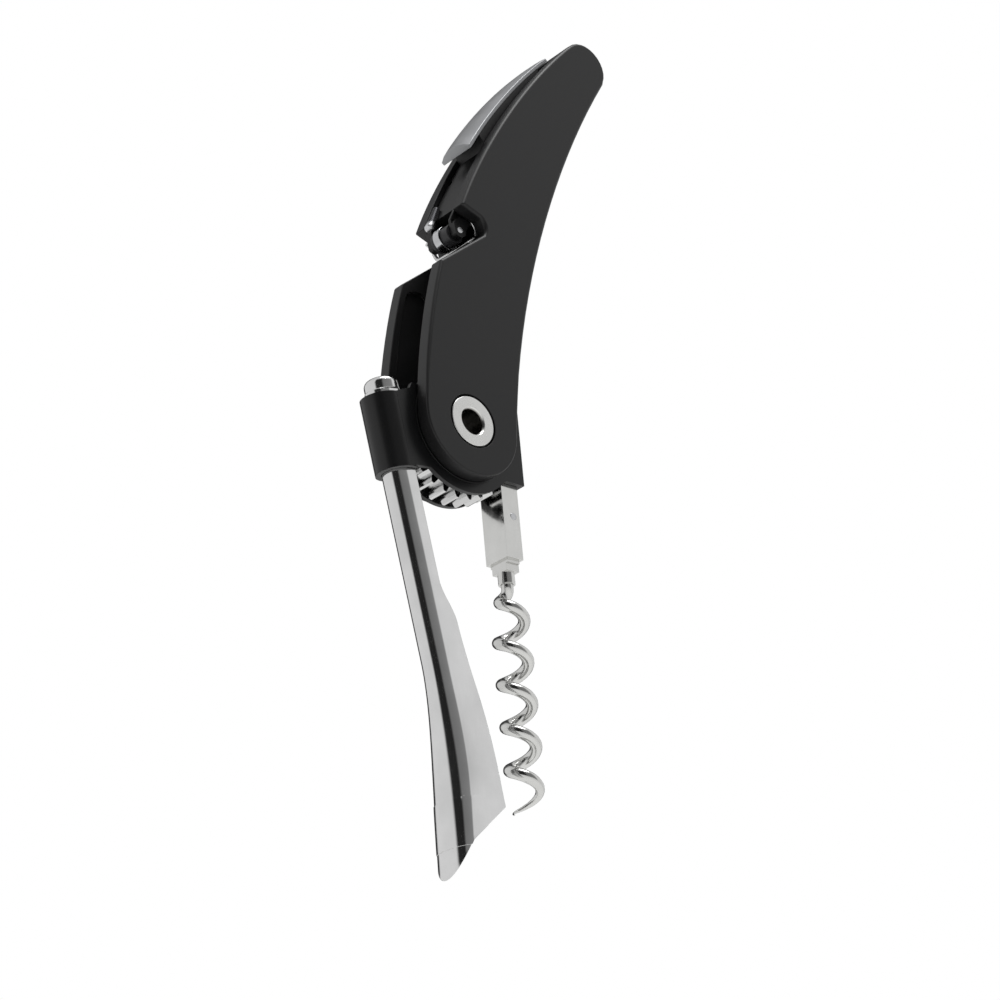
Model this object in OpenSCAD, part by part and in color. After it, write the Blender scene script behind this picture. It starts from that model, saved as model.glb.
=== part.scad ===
// Lever corkscrew with a double rack: raising the handle drives the leg down and the worm up at once.
// Origin: centre of the pivot axle. +Z runs up along the worm, +Y along the axle, +X towards the worm.

/* [Handle] */
// Overall width across the two cheeks
handle_w = 16; // [15:0.5:18]
// Radius of the round lower end about the pivot
handle_r = 12; // [11.5:0.1:12.4]
// Thickness of each cheek
cheek_t = 3.2; // [3:0.05:3.2]
// Thickness of the back web that joins the cheeks
web_t = 2.6; // [2:0.1:3]
// Height above the pivot where the back web starts
web_start = 32; // [31:0.5:36]

/* [Pivot] */
// Radius of the bore through the hollow axle
axle_bore_r = 2.75; // [2.4:0.05:3]
// Radius of the bright flange at each end of the axle
flange_r = 5.5; // [5.2:0.1:5.8]
// Thickness of each flange
flange_t = 1; // [0.8:0.1:1.2]
// Radius of the axle shank
shank_r = 4.2; // [4:0.1:4.4]
// Half distance between the two flats on the shank
shank_flat = 3.7; // [3.5:0.05:3.8]

/* [Gear] */
// Gear module
gear_m = 1; // [1:1:1]
// Teeth on a full circle of the worm side sector
worm_z = 23; // [23:1:23]
// Teeth on a full circle of the leg side sector
leg_z = 28; // [28:1:28]
// Face width of the worm side sector
worm_face = 6.2; // [5.6:0.1:6.4]
// Face width of the leg side sector
leg_face = 4.6; // [4:0.1:4.8]

/* [Frame] */
// Width across the frame cheeks and the leg sleeve
frame_w = 8.8; // [8.8:0.1:9]
// Radius of the round bottom of the frame cheeks
frame_r = 14.4; // [14:0.1:15]
// Height of the leg sleeve
sleeve_h = 16.2; // [14:0.2:18]

/* [Leg] */
// Lean of the leg away from the worm
leg_lean = 9.8; // [9.8:0.1:9.8]
// Radius of the rolled back of the leg
leg_r = 3.15; // [3:0.05:3.2]
// Thickness of the leg's sheet
sheet_t = 0.5; // [0.4:0.05:0.55]

/* [Worm] */
// Outer diameter of the worm
worm_d = 8.2; // [7:0.1:9]
// Diameter of the worm's wire
wire_d = 2.5; // [2:0.1:2.8]
// Length of the coiled worm
worm_len = 49; // [40:1:52]
// Rise of one turn
worm_pitch = 9; // [8:0.5:10]

/* [Hidden] */
$fn = 96;
eps = 0.01;

half_w = handle_w / 2;
inner_y = half_w - cheek_t;
frame_y = frame_w / 2;
frame_cheek_t = 1;
pocket_depth = 0.8;
washer_t = 0.25;
washer_r = 12.25;
bush_r = 5.2;
run_gap = 0.05;
pressure = 20;
addendum = gear_m;
dedendum = 1.25 * gear_m;
backlash = 0.16;
gear_hub_r = 8.6;
worm_pr = gear_m * worm_z / 2;
leg_pr = gear_m * leg_z / 2;

rack_x = worm_pr - addendum;
rack_t = 4.4;
rack_w = 6.5;
rack_top = 27;
rack_bottom = -25.8;
worm_x = rack_x + rack_t / 2;
worm_top = -30.6;
guide_wall = 1;
guide_gap = 0.1;
guide_open = 2;
guide_bottom = -9.4;
guide_top = 9.4;

leg_axis = -16.4;
flange_edge = -14.1;
leg_face_a = -(leg_pr - addendum);
leg_rack_w = 3.9;
sleeve_top = 6.8;

// Handle side outline in X and Z: round lower end, concave back, round tip, convex front with a notch.
tip_c = [44.5, 101.4];
tip_r = 5.9;
back_edge = [[12, -1], [15.9, 33], [30.3, 69.1], [49.7, 98.4]];
front_edge = [[2.3, 51.8], [9.6, 68.6], [25, 91], [40, 105.3]];
notch_c = [5.6, 47.7];
notch_r = 2.9;
lower_front = [[-4.9, 36.2], [-8, 27], [-11.5, 12], [-12, 1]];
front_out = [-0.8, 0.6];

lever_pivot = [14.5, 58];
lever_pin_r = 1.25;
lever_y = inner_y - 0.3;
lever_inset = 1.2;
plate_start = 0.31;
plate_end = 0.91;
plate_steps = 16;
plate_t = 0.8;
plate_bands = 6;
cap_r = 3.6;
cap_shift = 0.8;
ring_gap = 0.45;
roller_c = [4.3, 47.6];
roller_r = 2.3;
roller_core_r = 1.5;
roller_bore_r = 0.85;
roller_half = 2.7;
roller_pin_r = 0.78;
wheel_r = 2.7;
wheel_half = 0.95;
wheel_y = 0.5;
spring_wire_r = 0.45;
spring_c = [5.3, 48];
spring_r = 3.75;
spring_y = inner_y - spring_wire_r - 0.1;
spring_low = -14;
spring_high = 68;
spring_bar = [2.3, -1.6];
spring_far_y = 7.1;
far_arm = [[6.9, 47.6], [6.8, 48.7], [5.9, 49.6], [4.9, 49.9]];

turns = worm_len / worm_pitch;
worm_rings = 16;
worm_sides = 8;
coil_r = (worm_d - wire_d) / 2;
shank_turns = 0.8;
worm_pin_x = worm_x + 0.5;
worm_pin_z = -16.4;
worm_pin_r = 0.8;

// The leg is straight down to flare_c, then curves out to a foot that is cut on a slope.
flare_c = -50;
foot_reach = 12.2;
fin_tip_a = -11;
fin_tip_c = -80;
section_arc = 12;
leg_stations = [8, -10, -33, -34.5, -36, -38, -40, -42, -46, -50, -54, -58, -62, -66, -70, -74, -77,
    fin_tip_c];

black = "#2f2f30";
steel = "#c8c9cb";
bright = "#e6e7e8";
brushed = "#9a9b9d";

// --- curves -------------------------------------------------------------------------------------
function lerp(a, b, t) = a + (b - a) * t;
function bezier(p, t) = (1 - t)^3 * p[0] + 3 * t * (1 - t)^2 * p[1] + 3 * t^2 * (1 - t) * p[2] + t^3 * p[3];
function curve(p, n) = [for (i = [0:n]) bezier(p, i / n)];
function polar(r, a) = r * [cos(a), sin(a)];
function arc(c, r, a0, a1, n) = [for (i = [0:n]) c + polar(r, lerp(a0, a1, i / n))];
function smooth(x) = x <= 0 ? 0 : x >= 1 ? 1 : x * x * (3 - 2 * x);
function handle_outline() = concat(
    curve(back_edge, 20),
    arc(tip_c, tip_r, -26, 136, 12),
    [for (i = [0:20]) bezier(front_edge, 1 - i / 20)],
    arc(notch_c, notch_r, 52, -37, 10),
    curve(lower_front, 10),
    arc([0, 0], handle_r, 176, 354, 30));

// Extrudes an outline drawn in X and Z, between two depths in Y.
module slab(y0, y1) translate([0, y1, 0]) rotate([90, 0, 0]) linear_extrude(y1 - y0) children();
// A rod along Y.
module rod_y(r, y0, y1) translate([0, y1, 0]) rotate([90, 0, 0]) cylinder(r = r, h = y1 - y0);
// Moves children to a point given in X and Z.
module at_pivot(p) translate([p[0], 0, p[1]]) children();
// Places children in the leg's own frame: +Z up the leg, +X from the leg towards the pivot.
module on_leg() rotate([0, -leg_lean, 0]) children();

// --- gears --------------------------------------------------------------------------------------
function inv(a) = tan(a) * 180 / PI - a;
function tooth_half(z, r) = let(rp = gear_m * z / 2, rb = rp * cos(pressure))
    (gear_m * PI / 2 - backlash) / (2 * rp) * 180 / PI + inv(pressure) - (r > rb ? inv(acos(rb / r)) : 0);
// One tooth pointing at angle at: up one flank from the root, across the tip and down the other.
function tooth(z, at) = let(rp = gear_m * z / 2,
        rs = [for (i = [0:5]) lerp(rp - dedendum, rp + addendum, i / 5)])
    concat([for (r = rs) polar(r, at - tooth_half(z, r))],
        [for (i = [5:-1:0]) polar(rs[i], at + tooth_half(z, rs[i]))]);
// A toothed sector as one outline from the axis: count teeth, the first of them at angle a0.
function sector(z, a0, count) = let(root = gear_m * z / 2 - dedendum, step = 360 / z, end = step * 0.42)
    concat([[0, 0], polar(root, a0 - end)],
        [for (i = [0:count - 1]) each tooth(z, a0 + i * step)],
        [polar(root, a0 + (count - 1) * step + end)]);
// Straight rack teeth: pitch line on Y = 0, teeth towards -X, a gap centred on Y = 0, cut from n0 to n1.
module rack_cut(n0, n1, depth_y) {
    flank = tan(pressure);
    gap = gear_m * PI / 4 + backlash / 4;
    for (i = [n0:n1]) translate([0, 0, i * gear_m * PI]) slab(-depth_y, depth_y)
        polygon([[-addendum - 0.5, gap + (addendum + 0.5) * flank], [dedendum, gap - dedendum * flank],
            [dedendum, -gap + dedendum * flank], [-addendum - 0.5, -gap - (addendum + 0.5) * flank]]);
}

// --- frame --------------------------------------------------------------------------------------
module frame_body() color(black) difference() {
    union() {
        for (s = [-1, 1]) frame_cheek(s);
        on_leg() translate([leg_axis, 0, sleeve_top - sleeve_h]) cylinder(r = frame_y, h = sleeve_h);
        guide_box();
    }
    on_leg() leg_passage();
    on_leg() translate([leg_axis, -inner_gear_y(), sleeve_top - sleeve_h - 1])
        cube([leg_pr, 2 * inner_gear_y(), sleeve_h + 2]);
    translate([rack_x - guide_open, -rack_w / 2 - guide_gap, -30])
        cube([rack_t + guide_open + guide_gap, rack_w + 2 * guide_gap, 60]);
    rod_y(bush_r + run_gap, -20, 20);
}
function inner_gear_y() = frame_y - frame_cheek_t;
// One side plate of the frame: round at the bottom, running out to the sleeve and to the rack guide.
module frame_cheek(s) {
    y0 = s > 0 ? frame_y - frame_cheek_t : -frame_y;
    slab(y0, y0 + frame_cheek_t) difference() {
        union() {
            intersection() {
                circle(r = frame_r);
                translate([-20, -20]) square([40, 27]);
            }
            polygon([[-16.9, 4], [-14.3, -11.7], [-9.2, -11.1], [0, -frame_r + 0.2], [10.4, guide_bottom],
                [10.4, guide_top - 1], [4, 9.2], [-8, 8]]);
        }
        translate([-30, 9.6]) square([60, 20]);
    }
}
// The rectangular channel that the worm rack slides in.
module guide_box() {
    x1 = rack_x + rack_t + guide_gap + guide_wall;
    x0 = rack_x - 0.5;
    translate([x0, -frame_y, guide_bottom]) cube([x1 - x0, frame_w, guide_top - guide_bottom]);
}
// Clear way for the leg: its round back, its two flanges and the toothed bar between them.
module leg_passage() {
    translate([leg_axis, 0, -30]) cylinder(r = leg_r + guide_gap, h = 60);
    translate([leg_axis, -leg_r - guide_gap, -30]) cube([-leg_axis - 9.6, 2 * (leg_r + guide_gap), 60]);
}
module washer(y0) color(steel) difference() {
    rod_y(washer_r, y0, y0 + washer_t);
    rod_y(bush_r + 0.3, y0 - 1, y0 + washer_t + 1);
}
module washer_near() washer(-frame_y - washer_t);
module washer_far() washer(frame_y);

// --- handle -------------------------------------------------------------------------------------
module handle_shell() color(black) difference() {
    slab(-half_w, half_w) polygon(handle_outline());
    slab(-inner_y, inner_y) polygon(channel_outline());
    slab(-inner_y - pocket_depth, inner_y + pocket_depth) polygon(pocket_outline());
    rod_y(flange_r + ring_gap, half_w - flange_t, half_w + 1);
    rod_y(flange_r + ring_gap, -half_w - 1, -half_w + flange_t);
    double_d(-half_w - 1, half_w + 1, run_gap / 2);
    at_pivot(lever_pivot) rod_y(lever_pin_r, -half_w + 1, half_w - 1);
}
// The channel between the cheeks: open at the front and right through below the web.
function channel_outline() = concat(
    [for (i = [0:14]) let(t = lerp(0.33, 0.93, i / 14)) bezier(back_edge, t) + [-web_t, web_t * 0.35]],
    [[41.5, 100.8], [38.2, 103.6], [34, 108], [-30, 108], [-30, -30], [30, -30], [30, web_start],
        [16, web_start]]);
// A shallow arched recess moulded into the inner face of each cheek.
function pocket_outline() = concat(
    [[-9.2, 3], [-8.5, 14], [-6.7, 24]],
    arc([-0.9, 31.8], 3.6, 160, 20, 8),
    [[4.6, 22], [6.6, 14.6], [-2, 14.2]]);
// The shank's shape: round with two flats, so the handle, gear and bushes turn together.
module double_d(y0, y1, gap) intersection() {
    rod_y(shank_r + gap, y0, y1);
    translate([-10, y0 - 1, -shank_flat - gap]) cube([20, y1 - y0 + 2, 2 * (shank_flat + gap)]);
}
module drive_gear() color(steel) difference() {
    union() {
        slab(-worm_face / 2, worm_face / 2) polygon(sector(worm_z, 0, 8));
        slab(-leg_face / 2, leg_face / 2) polygon(sector(leg_z, 180 + leg_lean, 10));
        rod_y(gear_hub_r, -worm_face / 2 + 0.1, worm_face / 2 - 0.1);
    }
    double_d(-10, 10, run_gap / 2);
}
module axle_tube() color(bright) difference() {
    union() {
        rod_y(flange_r, -half_w, -half_w + flange_t);
        double_d(-half_w + 0.5, half_w - flange_t, 0);
        rod_y(shank_flat - 0.1, half_w - flange_t - 0.5, half_w);
    }
    rod_y(axle_bore_r, -half_w - 1, half_w + 1);
    translate([0, -half_w + 0.4, 0]) rotate([90, 0, 0])
        cylinder(r1 = axle_bore_r, r2 = axle_bore_r + 0.4, h = 0.4 + eps);
}
module axle_cap() color(bright) difference() {
    rod_y(flange_r, half_w - flange_t, half_w);
    rod_y(shank_flat - 0.1, half_w - flange_t - 1, half_w + 1);
}
module axle_bush(y0) color("ivory") difference() {
    rod_y(bush_r, y0, y0 + frame_cheek_t + 0.2);
    double_d(y0 - 1, y0 + 3, run_gap / 2);
}
module axle_bush_near() axle_bush(-frame_y - 0.1);
module axle_bush_far() axle_bush(frame_y - frame_cheek_t - 0.1);

// --- foil cutter in the handle ------------------------------------------------------------------
module lever_pin() color(steel) at_pivot(lever_pivot) rod_y(lever_pin_r, -half_w + 1, half_w - 1);
// A bent wire: a bar lies along the notch's lower corner, and an arm curls up from each end of it.
function spring_arm(y, a0, a1) = [for (i = [0:12]) let(a = lerp(a0, a1, i / 12))
    [spring_r * cos(a), y, spring_r * sin(a)]];
function spring_path() = let(bend = 0.4)
    concat(spring_arm(-spring_y, spring_high, spring_low),
        [[spring_bar[0], -spring_y + bend, spring_bar[1]], [spring_bar[0], spring_far_y - bend, spring_bar[1]]],
        [for (p = far_arm) [p[0] - spring_c[0], spring_far_y, p[1] - spring_c[1]]]);
module notch_spring() color(bright) at_pivot(spring_c) wire(spring_path(), spring_wire_r, 8);
// A round wire swept along a path that goes round the Y axis, so that "out from the axis" is across it.
module wire(path, r, sides) {
    last = len(path) - 1;
    points = [for (i = [0:last]) let(p = path[i], step = path[min(last, i + 1)] - path[max(0, i - 1)],
            d = step / norm(step), w = [p[0], 0, p[2]] / norm([p[0], 0, p[2]]),
            u = (w - (w * d) * d) / norm(w - (w * d) * d), v = cross(u, d))
        for (k = [0:sides - 1]) p + r * (cos(360 * k / sides) * u + sin(360 * k / sides) * v)];
    polyhedron(points, tube_faces(last, sides), convexity = 10);
}
// Faces of a tube of last + 1 rings: an end cap, a band of triangle pairs a ring, and the other cap.
function tube_faces(last, sides) = concat(
    [[for (k = [0:sides - 1]) k]],
    [for (i = [0:last - 1]) for (k = [0:sides - 1]) let(a = i * sides + k, b = i * sides + (k + 1) % sides)
        each [[a, a + sides, b + sides], [a, b + sides, b]]],
    [[for (k = [sides - 1:-1:0]) last * sides + k]]);
// The black lever that fills the channel: it carries the roller below its pivot and the plate above it.
module cutter_lever() color("#262627") difference() {
    slab(-lever_y, lever_y) polygon(lever_outline());
    at_pivot(lever_pivot) rod_y(lever_pin_r + run_gap, -10, 10);
    slab(-2.9, 2.9) polygon(lever_hollow());
    at_pivot(roller_c) rod_y(wheel_r + 0.5, -roller_half - 0.15, roller_half + 0.15);
    slab(-roller_half - 0.15, roller_half + 0.15) polygon([[-8, 40], [7.4, 46], [8.2, 52], [2, 54]]);
    at_pivot(spring_c) wire_groove();
    at_pivot(spring_c + spring_bar) rod_y(1.1, -6, 6);
    at_pivot(roller_c) rod_y(roller_pin_r + run_gap / 2, -10, 10);
    for (s = [-1, 1]) translate([9.6, s * lever_y, 67]) rotate([0, -32, 0])
        translate([0, 0, -5]) cylinder(r = 0.9, h = 10);
}
// Room in the lever's near side for an arm of the bent wire, which stays still as the lever turns.
module wire_groove() difference() {
    rod_y(spring_r + 1.2, -6, -3.6);
    rod_y(spring_r - 1, -7, 7);
}
function lever_outline() = concat(
    [for (t = [0.09, 0.17, 0.25, 0.33, 0.37]) bezier(front_edge, t) - lever_inset * front_out],
    [for (i = [2:plate_steps - 2]) plate_point(i, plate_lift(i))],
    [[34, 95.6], [27, 84.5], [21.5, 73.5], [17.6, 63], [17.3, 56], [13, 53.6], [8.6, 51.4]],
    arc(roller_c, 1.7, 10, -140, 8), [[2.6, 50.2]]);
function lever_hollow() = [[9.6, 62.5], [14.6, 72], [22.5, 84.6], [30.4, 94.6], [33, 95], [27.2, 86],
    [20.8, 74.5], [16.2, 63.2], [12.4, 61]];
// The roller is grooved round its middle, and the steel cutting wheel sits in the groove.
module cutter_roller() color("#3a3a3c") at_pivot(roller_c) difference() {
    rod_y(roller_r, -roller_half, roller_half);
    rod_y(roller_bore_r, -4, 4);
    difference() {
        rod_y(roller_r + 1, wheel_y - wheel_half, wheel_y + wheel_half);
        rod_y(roller_core_r, -2, 2);
    }
}
module cutter_wheel() color(steel) at_pivot(roller_c) difference() {
    rod_y(wheel_r, wheel_y - wheel_half, wheel_y + wheel_half);
    rod_y(roller_core_r, -4, 4);
}
module roller_pin() color(steel) at_pivot(roller_c) rod_y(roller_pin_r, -lever_y - 0.05, lever_y + 0.05);
// A pointed scoring tooth clipped to the front of the lever on its far side.
module cutter_tooth() color(bright) translate([2.6, inner_y - 1.5, 50.9]) rotate([0, 24, 0])
    cylinder(r1 = 1.2, r2 = 0.8, h = 6.4);
// The plate is flat where it sits on the lever and crowned across its outer face.
module thumb_plate() color(brushed) {
    n = plate_bands + 3;
    points = [for (i = [0:plate_steps]) each concat(
        [for (y = [-lever_y - 0.1, lever_y + 0.1]) let(p = plate_point(i, plate_lift(i))) [p[0], y, p[1]]],
        [for (j = [plate_bands:-1:0]) let(v = 2 * j / plate_bands - 1,
                p = plate_point(i, plate_lift(i) + plate_t + plate_crown(i) * (1 - v * v)))
            [p[0], v * (lever_y + 0.1), p[1]]])];
    polyhedron(points, tube_faces(plate_steps, n), convexity = 6);
}
function plate_crown(i) = lerp(1.6, 0.3, i / plate_steps);
// The plate stands proud of the handle's front edge, more at its low end than at its top.
function plate_lift(i) = lerp(1.9, 0.3, pow(i / plate_steps, 1.5));
function plate_point(i, out) =
    bezier(front_edge, lerp(plate_start, plate_end, i / plate_steps)) + out * front_out;

// --- worm side ----------------------------------------------------------------------------------
module worm_rack() color(bright) difference() {
    union() {
        translate([rack_x, -rack_w / 2, rack_bottom]) cube([rack_t, rack_w, rack_top - rack_bottom]);
        translate([rack_x + 0.6, -rack_w / 2 + 0.6, rack_bottom - 0.8]) cube([rack_t - 1.2, rack_w - 1.2, 1]);
    }
    translate([worm_pr, 0, 0]) rack_cut(0, 7, 5);
    at_pivot([worm_pin_x, worm_pin_z]) rod_y(worm_pin_r, -5, 5);
    translate([worm_x, 0, rack_bottom - 3]) cylinder(r = wire_d / 2 + run_gap, h = 9);
}
module worm_pin() color(brushed) at_pivot([worm_pin_x, worm_pin_z])
    rod_y(worm_pin_r, -rack_w / 2 - 0.05, rack_w / 2 + 0.05);
module worm_ferrule() color(bright) difference() {
    union() {
        translate([worm_x - 1.7, -2.2, rack_bottom - 2.4]) cube([3.4, 4.4, 1.6 - eps]);
        translate([worm_x, 0, worm_top]) cylinder(r = 1.75, h = rack_bottom - 2 - worm_top);
    }
    translate([worm_x, 0, worm_top - 1]) cylinder(r = wire_d / 2 + run_gap, h = 12);
}
// The worm: a straight shank in the rack, then an open coil that tapers to a point.
function worm_run(t) = let(r = coil_r * smooth(t / 0.7))
    [r * cos(360 * t), r * sin(360 * t), -worm_pitch * t];
function worm_wire(t) = wire_d / 2 * min(1, max(0.12, (turns - t) / 0.75));
module worm() color(bright) translate([worm_x, 0, worm_top]) {
    last = round((turns + shank_turns) * worm_rings);
    points = [for (i = [0:last]) let(t = lerp(-shank_turns, turns, i / last), p = worm_run(t),
            q = worm_run(t + 0.01), d = (q - p) / norm(q - p), w = [-cos(360 * t), -sin(360 * t), 0],
            u = (w - (w * d) * d) / norm(w - (w * d) * d), v = cross(u, d))
        for (k = [0:worm_sides - 1]) let(a = 360 * k / worm_sides)
            p + worm_wire(t) * (cos(a) * u + sin(a) * v)];
    polyhedron(points, tube_faces(last, worm_sides), convexity = 10);
}

// --- leg ----------------------------------------------------------------------------------------
// Back line, half width and front edge of the leg at height c in its own frame.
function leg_back(c) = leg_axis - leg_r - 6.1 * pow(max(0, flare_c - c) / 41, 1.7);
function leg_half(c) = leg_r + 1.6 * smooth((flare_c - c) / 38);
function fin_edge(c) = flange_edge + 2.4 * smooth((-33 - c) / 9) + 1.25 * smooth((-40 - c) / 20)
    - 0.6 * smooth((-60 - c) / 20);
// How far the back of a station hangs below its fins.
function back_drop(c) = foot_reach * smooth((-40 - c) / (-40 - fin_tip_c));
function foot_drop(a, c) = back_drop(c) * pow(max(0, fin_tip_a - a) / 14.6, 1.9);
// One section of the folded sheet: near edge, straight flange, round back, far flange, far edge.
function section(c, inset) =
    let(low = c - back_drop(c), h = leg_half(low) - inset, ctr = leg_back(low) + inset + h)
    concat([[fin_edge(c), -h]],
        [for (i = [0:section_arc]) let(a = 270 - 180 * i / section_arc) [ctr + h * cos(a), h * sin(a)]],
        [[fin_edge(c), h]]);
module swept_sheet(stations, inner, outer) {
    n = 2 * (section_arc + 3);
    rows = len(stations);
    last = (rows - 1) * n;
    ring = [for (c = stations) let(o = section(c, -outer), i = section(c, inner))
        concat([for (q = o) [q[0], q[1], c - foot_drop(q[0], c)]],
            [for (k = [section_arc + 2:-1:0]) [i[k][0], i[k][1], c - foot_drop(i[k][0], c)]])];
    points = [for (r = ring) for (q = r) q];
    faces = concat(
        [for (k = [0:section_arc + 1]) [k, k + 1, n - 2 - k, n - 1 - k]],
        [for (i = [0:rows - 2]) for (k = [0:n - 1]) let(a = i * n + k, b = i * n + (k + 1) % n)
            [a, a + n, b + n, b]],
        [for (k = [0:section_arc + 1]) [last + n - 1 - k, last + n - 2 - k, last + k + 1, last + k]]);
    polyhedron(points, faces, convexity = 10);
}
module leg_shell() color(bright) on_leg() swept_sheet(leg_stations, sheet_t, 0);
module leg_rack() color(steel) on_leg() difference() {
    intersection() {
        translate([-30, -leg_rack_w / 2, -46]) cube([30 + leg_face_a, leg_rack_w, 53.5]);
        union() {
            translate([leg_axis, 0, -50]) cylinder(r = leg_r - sheet_t - 0.05, h = 70);
            translate([leg_axis, -10, -50]) cube([20, 20, 70]);
        }
    }
    translate([-leg_pr, 0, 0]) mirror([1, 0, 0]) rack_cut(-10, 1, 5);
}
module leg_top_cap() color(bright) on_leg() translate([leg_axis + cap_shift, 0, 8]) rotate_extrude()
    polygon(concat([[0, 0], [cap_r, 0], [cap_r, 1.4]], arc([cap_r - 1.5, 1.4], 1.5, 0, 90, 8), [[0, 3.1]]));
module foot_panel() color(bright) on_leg() intersection() {
    swept_sheet([for (c = leg_stations) if (c < -60) c], -0.02, 0.3);
    translate([-40, -10, -87]) cube([23.2, 20, 9.5]);
}

frame_body();
washer_near();
washer_far();
handle_shell();
drive_gear();
axle_tube();
axle_cap();
axle_bush_near();
axle_bush_far();
lever_pin();
notch_spring();
cutter_lever();
cutter_roller();
cutter_wheel();
roller_pin();
cutter_tooth();
thumb_plate();
worm_rack();
worm_pin();
worm_ferrule();
worm();
leg_shell();
leg_rack();
leg_top_cap();
foot_panel();
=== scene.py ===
import math

import bmesh
import bpy
from mathutils import Matrix, Vector


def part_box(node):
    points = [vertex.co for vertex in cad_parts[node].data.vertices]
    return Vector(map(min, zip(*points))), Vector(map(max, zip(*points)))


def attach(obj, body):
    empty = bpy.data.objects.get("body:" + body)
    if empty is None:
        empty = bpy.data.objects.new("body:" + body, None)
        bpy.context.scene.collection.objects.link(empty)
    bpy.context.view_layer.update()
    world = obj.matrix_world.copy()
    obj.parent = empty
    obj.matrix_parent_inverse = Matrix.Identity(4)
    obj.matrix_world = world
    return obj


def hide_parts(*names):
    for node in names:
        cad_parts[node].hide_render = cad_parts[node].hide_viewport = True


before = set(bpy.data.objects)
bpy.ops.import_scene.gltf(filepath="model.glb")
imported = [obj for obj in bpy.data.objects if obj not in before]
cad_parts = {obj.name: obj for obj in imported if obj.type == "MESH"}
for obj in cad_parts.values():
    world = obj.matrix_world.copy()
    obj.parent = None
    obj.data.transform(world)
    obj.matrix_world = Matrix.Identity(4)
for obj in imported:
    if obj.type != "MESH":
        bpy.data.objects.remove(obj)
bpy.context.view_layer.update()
scene = bpy.context.scene
MM = 0.001

# --- Studio -------------------------------------------------------------------------------------
# A room with a tall bright panel on each side and a dark gap behind the camera. Polished metal shows the
# gap as a dark stripe. A softbox hangs above, and a pale, faintly glowing floor lies well below the tool.
scene.view_settings.view_transform = "Standard"


def linear(sheet):
    """An sRGB hex colour as linear red, green, blue and an alpha of 1."""
    parts = [int(sheet[i : i + 2], 16) / 255 for i in (1, 3, 5)]
    return [p / 12.92 if p <= 0.04045 else ((p + 0.055) / 1.055) ** 2.4 for p in parts] + [1]


def add_node(tree, kind, links=None, **settings):
    """Adds a node with its settings. Each entry of links is an input's value or the socket that feeds it."""
    made = tree.nodes.new("ShaderNode" + kind)
    for name, value in settings.items():
        setattr(made, name, value)
    for name, value in (links or {}).items():
        if isinstance(value, bpy.types.NodeSocket):
            tree.links.new(value, made.inputs[name])
        else:
            made.inputs[name].default_value = value
    return made


def ramp(tree, factor, stops):
    """A colour ramp whose stops are (position, sRGB hex)."""
    made = add_node(tree, "ValToRGB", {"Fac": factor})
    while len(made.color_ramp.elements) < len(stops):
        made.color_ramp.elements.new(0.5)
    for element, (place, colour) in zip(made.color_ramp.elements, stops):
        element.position = place
        element.color = linear(colour)
    return made.outputs["Color"]


CAMERA_AZIMUTH = 43.21
CAMERA_ELEVATION = -24.10
CAMERA_ROLL = -5.21
CAMERA_AIM = Vector((10.81, -2.26, -12.87)) * MM
CAMERA_DISTANCE = 570.7 * MM

camera = bpy.data.objects.new("camera", bpy.data.cameras.new("camera"))
scene.collection.objects.link(camera)
turn = math.radians(CAMERA_AZIMUTH)
lift = math.radians(CAMERA_ELEVATION)
towards = Vector((-math.sin(turn) * math.cos(lift), -math.cos(turn) * math.cos(lift), math.sin(lift)))
camera.location = CAMERA_AIM + towards * CAMERA_DISTANCE
look = towards.to_track_quat("Z", "Y").to_matrix()
camera.rotation_mode = "QUATERNION"
camera.rotation_quaternion = (look @ Matrix.Rotation(math.radians(CAMERA_ROLL), 3, "Z")).to_quaternion()
camera.data.sensor_width = 36
camera.data.lens = 100.33
camera.data.clip_start = 0.01
camera.data.clip_end = 50
scene.camera = camera

# The room runs round the compass: 0.5 is the camera's own direction, below 0.5 is to its left.
ROOM = [
    (0.000, "#3a3a3a"),
    (0.110, "#303030"),
    (0.140, "#e8e8e8"),
    (0.385, "#e4e4e4"),
    (0.412, "#2a2a2a"),
    (0.515, "#262626"),
    (0.545, "#7c7c7c"),
    (0.700, "#8c8c8c"),
    (0.725, "#e6e6e6"),
    (0.915, "#eeeeee"),
    (0.950, "#4a4a4a"),
    (1.000, "#3a3a3a"),
]
world = bpy.data.worlds.new("studio")
scene.world = world
world.use_nodes = True
room = world.node_tree
room.nodes.clear()
direction = add_node(room, "TexCoord")
turned = add_node(
    room,
    "Mapping",
    {"Vector": direction.outputs["Generated"], "Rotation": (0, 0, turn + math.pi / 2)},
)
compass = add_node(room, "TexGradient", {"Vector": turned.outputs["Vector"]}, gradient_type="RADIAL")
sides = ramp(room, compass.outputs["Fac"], ROOM)
height = add_node(room, "SeparateXYZ", {"Vector": direction.outputs["Generated"]})
overhead = add_node(
    room,
    "MapRange",
    {"Value": height.outputs["Z"], "From Min": 0.72, "From Max": 0.92},
    interpolation_type="SMOOTHSTEP",
)
lit = add_node(
    room,
    "MixRGB",
    {"Fac": overhead.outputs["Result"], "Color1": sides, "Color2": linear("#d8d8d8")},
)
seen = add_node(room, "LightPath")
shown = add_node(
    room,
    "MixRGB",
    {"Fac": seen.outputs["Is Camera Ray"], "Color1": lit.outputs["Color"], "Color2": (1, 1, 1, 1)},
)
background = add_node(room, "Background", {"Color": shown.outputs["Color"], "Strength": 1.0})
add_node(room, "OutputWorld", {"Surface": background.outputs["Background"]})

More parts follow.
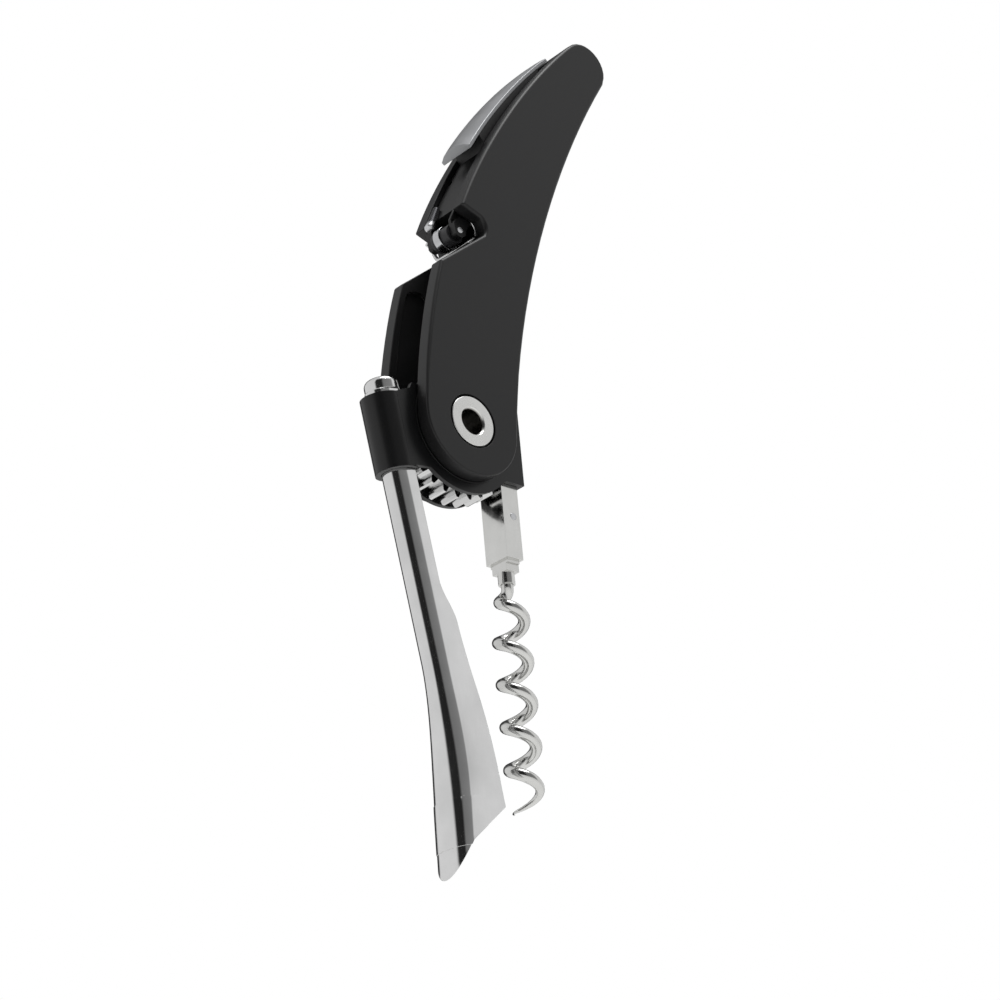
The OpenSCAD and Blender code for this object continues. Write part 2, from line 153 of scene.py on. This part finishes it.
FLOOR_Z = -0.34
floor_mesh = bpy.data.meshes.new("studio_floor")
floor_bm = bmesh.new()
bmesh.ops.create_circle(
    floor_bm, cap_ends=True, radius=6, segments=64, matrix=Matrix.Translation((0, 0, FLOOR_Z))
)
floor_bm.to_mesh(floor_mesh)
floor_bm.free()
floor = bpy.data.objects.new("studio_floor", floor_mesh)
scene.collection.objects.link(floor)
paper = bpy.data.materials.new("seamless_paper")
paper.use_nodes = True
sheet = paper.node_tree.nodes["Principled BSDF"].inputs
sheet["Base Color"].default_value = linear("#e9e9e8")
sheet["Roughness"].default_value = 0.8
sheet["Emission Color"].default_value = linear("#ffffff")
sheet["Emission Strength"].default_value = 0.3
floor_mesh.materials.append(paper)


def area_light(name, place, aim, size, watts):
    """A square softbox at a place, facing a point."""
    lamp = bpy.data.lights.new(name, "AREA")
    lamp.shape = "SQUARE"
    lamp.size = size
    lamp.energy = watts
    holder = bpy.data.objects.new(name, lamp)
    holder.location = place
    holder.rotation_mode = "QUATERNION"
    holder.rotation_quaternion = (Vector(place) - Vector(aim)).to_track_quat("Z", "Y")
    scene.collection.objects.link(holder)


area_light("top_softbox", (0.1, -0.25, 0.95), (0.01, 0, 0.03), 0.5, 5)

# --- Handle -------------------------------------------------------------------------------------
# One moulding of glass-filled nylon with a fine satin spark finish: two cheeks joined by a web along the
# back, a deep channel open at the front, and a generous round on the rims that a hand closes on.


def moulded(name, colour, roughness, grain, depth):
    """Moulded plastic: even colour, a fine spark-eroded grain and slow changes of gloss. Grain is in mm."""
    made = bpy.data.materials.new(name)
    made.use_nodes = True
    tree = made.node_tree
    shader = tree.nodes["Principled BSDF"]
    where = add_node(tree, "TexCoord").outputs["Object"]
    fine = add_node(tree, "TexNoise", {"Vector": where, "Scale": 1 / (grain * MM), "Detail": 3.0})
    slow = add_node(tree, "TexNoise", {"Vector": where, "Scale": 90.0, "Detail": 4.0, "Roughness": 0.6})
    tint = ramp(tree, slow.outputs["Fac"], [(0.3, shade(colour, 0.93)), (0.7, shade(colour, 1.07))])
    gloss = add_node(
        tree,
        "MapRange",
        {"Value": slow.outputs["Fac"], "To Min": roughness - 0.05, "To Max": roughness + 0.05},
    )
    bump = add_node(
        tree,
        "Bump",
        {"Height": fine.outputs["Fac"], "Strength": 0.35, "Distance": depth * MM},
    )
    tree.links.new(tint, shader.inputs["Base Color"])
    tree.links.new(gloss.outputs["Result"], shader.inputs["Roughness"])
    tree.links.new(bump.outputs["Normal"], shader.inputs["Normal"])
    shader.inputs["IOR"].default_value = 1.42
    return made


def shade(sheet, share):
    """The same hex colour, lighter or darker."""
    return "#" + "".join(f"{min(255, round(int(sheet[i:i + 2], 16) * share)):02x}" for i in (1, 3, 5))


def finished(node, rounding, widest, sharp=28.0, segments=3):
    """A clean copy of a CAD solid whose sharp edges are rounded. rounding gives each edge's radius in mm
    from its middle point and direction, both in mm."""
    bm = bmesh.new()
    bm.from_mesh(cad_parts[node].data)
    bmesh.ops.remove_doubles(bm, verts=bm.verts, dist=0.002 * MM)
    bmesh.ops.dissolve_degenerate(bm, edges=bm.edges, dist=0.002 * MM)
    bmesh.ops.dissolve_limit(
        bm, angle_limit=math.radians(0.6), verts=bm.verts, edges=bm.edges, use_dissolve_boundaries=False
    )
    weight = bm.edges.layers.float.new("bevel_weight_edge")
    for edge in bm.edges:
        if len(edge.link_faces) == 2 and edge.calc_face_angle(0) > math.radians(sharp):
            a, b = edge.verts[0].co / MM, edge.verts[1].co / MM
            edge[weight] = min(1, rounding((a + b) / 2, (b - a).normalized()) / widest)
    for face in bm.faces:
        face.smooth = True
        face.material_index = 0
    mesh = bpy.data.meshes.new(node + "_piece")
    bm.to_mesh(mesh)
    bm.free()
    piece = bpy.data.objects.new(node + "_piece", mesh)
    scene.collection.objects.link(piece)
    rounder = piece.modifiers.new("rounded_edges", "BEVEL")
    rounder.limit_method = "WEIGHT"
    rounder.width = widest * MM
    rounder.segments = segments
    rounder.profile = 0.5
    rounder.miter_outer = "MITER_ARC"
    flat = piece.modifiers.new("flat_faces", "WEIGHTED_NORMAL")
    flat.keep_sharp = True
    return piece


def place(piece, body, slot, material, *nodes):
    """Gives a piece its material and its body, and hides the CAD nodes it replaces. slot, the finish it
    stands for, is not used.
    """
    piece.data.materials.clear()
    piece.data.materials.append(material)
    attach(piece, body)
    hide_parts(*nodes)
    return piece


def even(radius):
    """The same rounding on every edge."""
    return lambda middle, along: radius


def copied(node, body, slot, material, radius, sharp=28.0, segments=3):
    """A CAD solid with the same rounding on every sharp edge, placed in its own node's stead."""
    place(finished(node, even(radius), radius, sharp, segments), body, slot, material, node)


HANDLE_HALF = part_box("handle_shell")[1].y / MM
RIM_ROUND = 1.1
LOWER_ROUND = 0.55
CHANNEL_ROUND = 0.28
SEAT_ROUND = 0.12
SEAT_ZONE = 7
RISE_START = 2
RISE_RUN = 14


def handle_rim(middle, along):
    """The outer rims are broadly rounded above the pivot; the channel's and the ring seat's are crisp."""
    if abs(abs(middle.y) - HANDLE_HALF) > 0.01:
        return CHANNEL_ROUND
    if math.hypot(middle.x, middle.z) < SEAT_ZONE:
        return SEAT_ROUND
    rise = max(0.0, min(1.0, (middle.z - RISE_START) / RISE_RUN))
    return LOWER_ROUND + (RIM_ROUND - LOWER_ROUND) * rise


satin_nylon = moulded("satin_nylon", "#121213", 0.44, 0.22, 0.02)
handle = finished("handle_shell", handle_rim, RIM_ROUND, segments=4)
place(handle, "handle", "satin_black", satin_nylon, "handle_shell")

# --- Frame --------------------------------------------------------------------------------------
# The body that everything hangs on: a smooth black moulding with a round sleeve for the leg, two thin
# cheeks round the gear and a square guide for the toothed bar. Its tool was polished, so it is glossier.
smooth_nylon = moulded("smooth_nylon", "#101011", 0.33, 0.35, 0.008)
copied("frame_body", "frame", "black_plastic", smooth_nylon, 0.3)


def worked_metal(name, colour, roughness, line, stretch, depth, scratch=0.5):
    """Bare or plated metal with drawn lines. line is their spacing in mm; stretch squeezes the pattern
    along X, Y and Z, so a small number makes long lines that way."""
    made = bpy.data.materials.new(name)
    made.use_nodes = True
    tree = made.node_tree
    shader = tree.nodes["Principled BSDF"]
    where = add_node(tree, "TexCoord").outputs["Object"]
    drawn = add_node(tree, "Mapping", {"Vector": where, "Scale": stretch})
    lines = add_node(
        tree,
        "TexNoise",
        {"Vector": drawn.outputs["Vector"], "Scale": 1 / (line * MM), "Detail": 4.0, "Roughness": 0.65},
    )
    cloud = add_node(tree, "TexNoise", {"Vector": where, "Scale": 160.0, "Detail": 3.0})
    tint = ramp(tree, cloud.outputs["Fac"], [(0.3, shade(colour, 0.95)), (0.7, colour)])
    both = add_node(
        tree,
        "Math",
        {0: lines.outputs["Fac"], 1: cloud.outputs["Fac"]},
        operation="MULTIPLY",
    )
    gloss = add_node(
        tree,
        "MapRange",
        {
            "Value": both.outputs["Value"],
            "From Min": 0.1,
            "From Max": 0.4,
            "To Min": max(0.02, roughness * (1 - scratch)),
            "To Max": roughness * (1 + scratch),
        },
    )
    bump = add_node(
        tree,
        "Bump",
        {"Height": lines.outputs["Fac"], "Strength": 0.4, "Distance": depth * MM},
    )
    tree.links.new(tint, shader.inputs["Base Color"])
    tree.links.new(gloss.outputs["Result"], shader.inputs["Roughness"])
    tree.links.new(bump.outputs["Normal"], shader.inputs["Normal"])
    shader.inputs["Metallic"].default_value = 1.0
    return made


# Two nylon washers keep the handle's cheeks off the frame.
for washer in ("washer_near", "washer_far"):
    copied(washer, "frame", "black_plastic", smooth_nylon, 0.05, segments=2)

# --- Pivot --------------------------------------------------------------------------------------
# A hollow axle turned from free-cutting steel and satin nickel plated: a flange at one end, a cap pressed
# on the other, and a bore right through, whose inside is painted a darker grey as shade.
satin_nickel = worked_metal("satin_nickel", "#e4e4e2", 0.28, 0.12, (1, 1, 1), 0.003, 0.25)


def toned(material, measure, start, stop, colour):
    """Mixes another colour into a material, from none where measure is start to all where it is stop."""
    tree = material.node_tree
    base = tree.nodes["Principled BSDF"].inputs["Base Color"]
    share = add_node(tree, "MapRange", {"Value": measure, "From Min": start * MM, "From Max": stop * MM})
    mixed = add_node(
        tree,
        "MixRGB",
        {"Fac": share.outputs["Result"], "Color1": base.links[0].from_socket, "Color2": linear(colour)},
    )
    tree.links.new(mixed.outputs["Color"], base)


# Painted shade: the nickel is mixed towards a darker grey inside the bore, starting 0.3 mm outside its
# radius and fully dark from 0.05 mm outside it.
BORE = 2.75
plated = satin_nickel.node_tree
across = add_node(plated, "VectorMath", {0: (1, 0, 1)}, operation="MULTIPLY")
plated.links.new(add_node(plated, "TexCoord").outputs["Object"], across.inputs[1])
from_axis = add_node(plated, "VectorMath", {0: across.outputs["Vector"]}, operation="LENGTH")
toned(satin_nickel, from_axis.outputs["Value"], BORE + 0.3, BORE + 0.05, "#84827f")


FLANGE_ROUND = 0.18
BORE_ROUND = 0.06
FLANGE_ZONE = 5


def axle_rim(middle, along):
    """The flange's outer edge is eased; the bore keeps its turned chamfer."""
    return FLANGE_ROUND if math.hypot(middle.x, middle.z) > FLANGE_ZONE else BORE_ROUND


for axle in ("axle_tube", "axle_cap"):
    place(finished(axle, axle_rim, FLANGE_ROUND), "handle", "bright_steel", satin_nickel, axle)

# Two bushes moulded in natural acetal, pale and slightly waxy, carry the axle in the frame's cheeks.
natural_acetal = moulded("natural_acetal", "#d8d3c6", 0.38, 0.3, 0.006)
for bush in ("axle_bush_near", "axle_bush_far"):
    copied(bush, "handle", "acetal", natural_acetal, 0.1, segments=2)

# --- Drive gear ---------------------------------------------------------------------------------
# One sintered steel gear with a small sector for the worm's bar and a larger one for the leg's. The tooth
# flanks are polished by running in their racks.
sintered_steel = worked_metal("sintered_steel", "#dcdcdc", 0.16, 0.35, (1, 0.12, 1), 0.006)
copied("drive_gear", "handle", "gear_steel", sintered_steel, 0.1, sharp=24, segments=2)

# --- Foil cutter --------------------------------------------------------------------------------
# A glass-filled nylon lever that rocks in the handle's channel on a ground steel pin. A satin stainless
# plate is clipped to its front for the thumb; its lower end carries the roller and the scoring tooth.
channel_nylon = moulded("channel_nylon", "#0f0f10", 0.4, 0.3, 0.01)
copied("cutter_lever", "cutter", "black_plastic", channel_nylon, 0.3)

ground_steel = worked_metal("ground_steel", "#c9cacc", 0.18, 0.1, (1, 1, 1), 0.002)
copied("lever_pin", "handle", "steel", ground_steel, 0.15)
copied("roller_pin", "cutter", "steel", ground_steel, 0.1)

# The scoring tooth is coloured dark grey above 52.8 mm and bright steel below 52 mm, blending between.
BRIGHT_BELOW = 52.0
DARK_ABOVE = 52.8
tooth_two_tone_steel = worked_metal("tooth_two_tone_steel", "#c9cacc", 0.24, 0.2, (1, 1, 1), 0.002)
tooth_nodes = tooth_two_tone_steel.node_tree
along_tooth = add_node(tooth_nodes, "SeparateXYZ", {"Vector": add_node(tooth_nodes, "TexCoord").outputs["Object"]})
toned(tooth_two_tone_steel, along_tooth.outputs["Z"], BRIGHT_BELOW, DARK_ABOVE, "#3a3a3c")
copied("cutter_tooth", "cutter", "steel", tooth_two_tone_steel, 0.25)

roller_nylon = moulded("roller_nylon", "#2c2c2e", 0.42, 0.25, 0.008)
copied("cutter_roller", "roller", "black_plastic", roller_nylon, 0.15)
copied("cutter_wheel", "roller", "steel", ground_steel, 0.12)

brushed_stainless = worked_metal("brushed_stainless", "#9fa0a2", 0.46, 0.12, (0.08, 1, 0.08), 0.0015, 0.15)
copied("thumb_plate", "cutter", "brushed_plate", brushed_stainless, 0.12, sharp=40)

# A bent stainless spring wire: a bar along the notch's lower corner, and an arm curled up from each end.
spring_wire = worked_metal("spring_wire", "#d5d5d5", 0.2, 0.1, (1, 0.1, 1), 0.002)


def swept_wire(name, path, radii, sides):
    """A round wire along a path of points in mm, with a radius for each, closed at both ends."""
    bm = bmesh.new()
    across = (path[1] - path[0]).orthogonal().normalized()
    rings = []
    for i, (here, radius) in enumerate(zip(path, radii)):
        along = (path[min(i + 1, len(path) - 1)] - path[max(i - 1, 0)]).normalized()
        across = (across - along * across.dot(along)).normalized()
        up = along.cross(across)
        angles = [2 * math.pi * k / sides for k in range(sides)]
        rings.append(
            [bm.verts.new((here + radius * (across * math.cos(a) + up * math.sin(a))) * MM) for a in angles]
        )
    for one, two in zip(rings, rings[1:]):
        for k in range(sides):
            bm.faces.new((one[k], one[(k + 1) % sides], two[(k + 1) % sides], two[k]))
    bm.faces.new(rings[0][::-1])
    bm.faces.new(rings[-1])
    bmesh.ops.recalc_face_normals(bm, faces=bm.faces)
    return smooth_piece(name, bm)


def smooth_piece(name, bm, sharp=40.0):
    """Turns a bmesh into an object whose faces shade smoothly except across its sharp edges."""
    for face in bm.faces:
        face.smooth = True
    for edge in bm.edges:
        edge.smooth = len(edge.link_faces) != 2 or edge.calc_face_angle(0) < math.radians(sharp)
    mesh = bpy.data.meshes.new(name)
    bm.to_mesh(mesh)
    bm.free()
    piece = bpy.data.objects.new(name, mesh)
    scene.collection.objects.link(piece)
    return piece


def rounded_path(corners, radius, steps):
    """A path of points through corners whose bends are eased over a length of radius."""
    path = [corners[0]]
    for before, corner, after in zip(corners, corners[1:], corners[2:]):
        start = corner + (before - corner).normalized() * min(radius, (before - corner).length * 0.49)
        end = corner + (after - corner).normalized() * min(radius, (after - corner).length * 0.49)
        for i in range(steps + 1):
            t = i / steps
            path.append(start * (1 - t) ** 2 + corner * 2 * t * (1 - t) + end * t**2)
    return path + [corners[-1]]


SPRING_RADIUS = 0.45
SPRING_CENTRE = Vector((5.3, 0, 48))
SPRING_BEND = 3.75
SPRING_Y = 4.25
SPRING_FAR_Y = 7.1
BAR_X, BAR_Z = 7.6, 46.4
CORNER = 0.4
EASED = 0.9
FAR_ARM = ((6.9, 47.6), (6.8, 48.7), (5.9, 49.6), (4.9, 49.9))

near_centre = SPRING_CENTRE - Vector((0, SPRING_Y, 0))
near_angles = [math.radians(a) for a in range(68, -15, -8)]
near_arm = [near_centre + SPRING_BEND * Vector((math.cos(a), 0, math.sin(a))) for a in near_angles]
bar_ends = [Vector((BAR_X, y, BAR_Z)) for y in (-SPRING_Y + CORNER, SPRING_FAR_Y - CORNER)]
far_arm = [Vector((x, SPRING_FAR_Y, z)) for x, z in FAR_ARM]
spring_path = rounded_path(near_arm + bar_ends + far_arm, EASED, 5)
spring = swept_wire("notch_spring_piece", spring_path, [SPRING_RADIUS] * len(spring_path), 16)
place(spring, "handle", "bright_steel", spring_wire, "notch_spring")

# --- Worm and its bar ---------------------------------------------------------------------------
# The toothed bar is die-cast zinc with a satin nickel plate and eased edges. A cross pin holds the worm's
# straight shank, and a square collar closes the end of the bar.
cast_nickel = worked_metal("cast_nickel", "#dadad8", 0.16, 0.6, (1, 1, 0.25), 0.004)
copied("worm_rack", "worm_bar", "rack_chrome", cast_nickel, 0.4, sharp=24)
copied("worm_pin", "worm_bar", "steel", ground_steel, 0.12)
copied("worm_ferrule", "worm_bar", "rack_chrome", cast_nickel, 0.2)

# The worm is drawn steel wire: a straight shank, then an open right-hand coil that tapers to a point.
WORM_X, WORM_TOP = 12.7, -30.6
WORM_PITCH, WORM_TURNS, SHANK_TURNS = 9, 49 / 9, 0.8
COIL_RADIUS, WIRE_RADIUS = 2.85, 1.25
OPENING_TURNS = 0.7
TAPER_TURNS = 0.75
POINT_SHARE = 0.12
WORM_STEPS = 220


def ease(x):
    """A smooth step from 0 to 1."""
    x = max(0.0, min(1.0, x))
    return x * x * (3 - 2 * x)


worm_path, worm_radii = [], []
for i in range(WORM_STEPS + 1):
    t = -SHANK_TURNS + (WORM_TURNS + SHANK_TURNS) * i / WORM_STEPS
    swing = COIL_RADIUS * ease(t / OPENING_TURNS)
    turn_at = 2 * math.pi * t
    worm_path.append(
        Vector((WORM_X + swing * math.cos(turn_at), swing * math.sin(turn_at), WORM_TOP - WORM_PITCH * t))
    )
    worm_radii.append(WIRE_RADIUS * min(1, max(POINT_SHARE, (WORM_TURNS - t) / TAPER_TURNS)))
worm = swept_wire("worm_piece", worm_path, worm_radii, 20)
place(worm, "worm_bar", "rack_chrome", cast_nickel, "worm")

# --- Leg ----------------------------------------------------------------------------------------
# The leg is 0.5 mm steel sheet folded round its toothed bar and bright nickel plated. Below the bar it
# opens into two fins, and its back sweeps out to a foot cut on a slope to brace on a bottle's rim.
bright_nickel = worked_metal("bright_nickel", "#e2e2e2", 0.1, 0.5, (1, 1, 0.04), 0.0015)
LEG_LEAN = math.radians(9.8)
LEG_AXIS, LEG_RADIUS, SHEET, FLANGE_EDGE = -16.4, 3.15, 0.5, -14.1
FLARE, FIN_LOW, FOOT_REACH, FIN_TIP = -50, -80, 12.2, -11
ARC = 28
FLARE_WIDTH, FLARE_RUN = 1.6, 38
SWEEP, SWEEP_RUN, SWEEP_POWER = 6.1, 41, 1.7
DROP_START, DROP_SPAN, DROP_POWER = -40, 14.6, 1.9
# Where the front edge steps in or out: how far in mm, from which height, and over what length.
EDGE_STEPS = ((2.4, -33, 9), (1.25, -40, 20), (-0.6, -60, 20))


def leg_section(c, inset):
    """One section of the folded sheet at height c, as (out, across) from near edge to far edge in mm."""
    low = c - back_drop(c)
    half = LEG_RADIUS + FLARE_WIDTH * ease((FLARE - low) / FLARE_RUN) - inset
    swept = SWEEP * (max(0, FLARE - low) / SWEEP_RUN) ** SWEEP_POWER
    centre = LEG_AXIS - LEG_RADIUS - swept + inset + half
    edge = FLANGE_EDGE
    for step, start, run in EDGE_STEPS:
        edge += step * ease((start - c) / run)
    angles = [math.radians(270 - 180 * i / ARC) for i in range(ARC + 1)]
    back = [(centre + half * math.cos(a), half * math.sin(a)) for a in angles]
    return [(edge, -half)] + back + [(edge, half)]


def back_drop(c):
    """How far the back of a station hangs below its fins."""
    return FOOT_REACH * ease((DROP_START - c) / (DROP_START - FIN_LOW))


def leg_point(out, across, c):
    """A point given in the leg's own leaning frame, in metres."""
    drop = back_drop(c) * (max(0, FIN_TIP - out) / DROP_SPAN) ** DROP_POWER
    return Matrix.Rotation(-LEG_LEAN, 3, "Y") @ (Vector((out, across, c - drop)) * MM)


def folded_sheet(stations, inner, outer):
    """A closed sheet swept down the leg, between insets inner and outer from its outer skin."""
    bm = bmesh.new()
    rings = []
    for c in stations:
        skin, lining = leg_section(c, -outer), leg_section(c, inner)
        rings.append([bm.verts.new(leg_point(*q, c)) for q in skin + lining[::-1]])
    count = len(rings[0])
    for one, two in zip(rings, rings[1:]):
        for k in range(count):
            bm.faces.new((one[k], one[(k + 1) % count], two[(k + 1) % count], two[k]))
    for ring in (rings[0], rings[-1]):
        for k in range(count // 2 - 1):
            bm.faces.new((ring[k], ring[k + 1], ring[count - 2 - k], ring[count - 1 - k]))
    bmesh.ops.recalc_face_normals(bm, faces=bm.faces)
    return bm


def ease_edges(piece, name, segments):
    """Eases a folded sheet's cut edges."""
    eased = piece.modifiers.new(name, "BEVEL")
    eased.limit_method = "ANGLE"
    eased.angle_limit = math.radians(50)
    eased.width = 0.12 * MM
    eased.segments = segments


FINS_START, FINS_RUN, FIN_STATIONS = -33, 47, 62
fine = [FINS_START - FINS_RUN * i / FIN_STATIONS for i in range(1, FIN_STATIONS + 1)]
stations = [8, 0, -10, -20, -30, FINS_START] + fine
leg_shell = smooth_piece("leg_shell_piece", folded_sheet(stations, SHEET, 0))
ease_edges(leg_shell, "broken_edges", 2)
place(leg_shell, "leg", "leg_chrome", bright_nickel, "leg_shell")
copied("leg_rack", "leg", "gear_steel", sintered_steel, 0.1)
copied("leg_top_cap", "leg", "leg_chrome", bright_nickel, 0.1, sharp=50)

# The panel at the foot is pressed a hair proud of the sheet, from its back round to both sides.
PANEL_EDGE, PANEL_TOP, PANEL_LOW = -16.8, -77.5, -87
PANEL_START, PANEL_SUNK, PANEL_PROUD = -62, 0.3, 0.14
panel_bm = folded_sheet([c for c in stations if c < PANEL_START], PANEL_SUNK, PANEL_PROUD)
lean = Matrix.Rotation(-LEG_LEAN, 3, "Y")
for point, normal in (
    ((PANEL_EDGE, 0, 0), (1, 0, 0)),
    ((0, 0, PANEL_TOP), (0, 0, 1)),
    ((0, 0, PANEL_LOW), (0, 0, -1)),
):
    bmesh.ops.bisect_plane(
        panel_bm,
        geom=panel_bm.verts[:] + panel_bm.edges[:] + panel_bm.faces[:],
        plane_co=lean @ (Vector(point) * MM),
        plane_no=lean @ Vector(normal),
        clear_outer=True,
    )
    open_edges = [edge for edge in panel_bm.edges if edge.is_boundary]
    bmesh.ops.holes_fill(panel_bm, edges=open_edges, sides=0)
bmesh.ops.recalc_face_normals(panel_bm, faces=panel_bm.faces)
panel = smooth_piece("foot_panel_piece", panel_bm)
ease_edges(panel, "rolled_rim", 3)
place(panel, "leg", "leg_chrome", bright_nickel, "foot_panel")
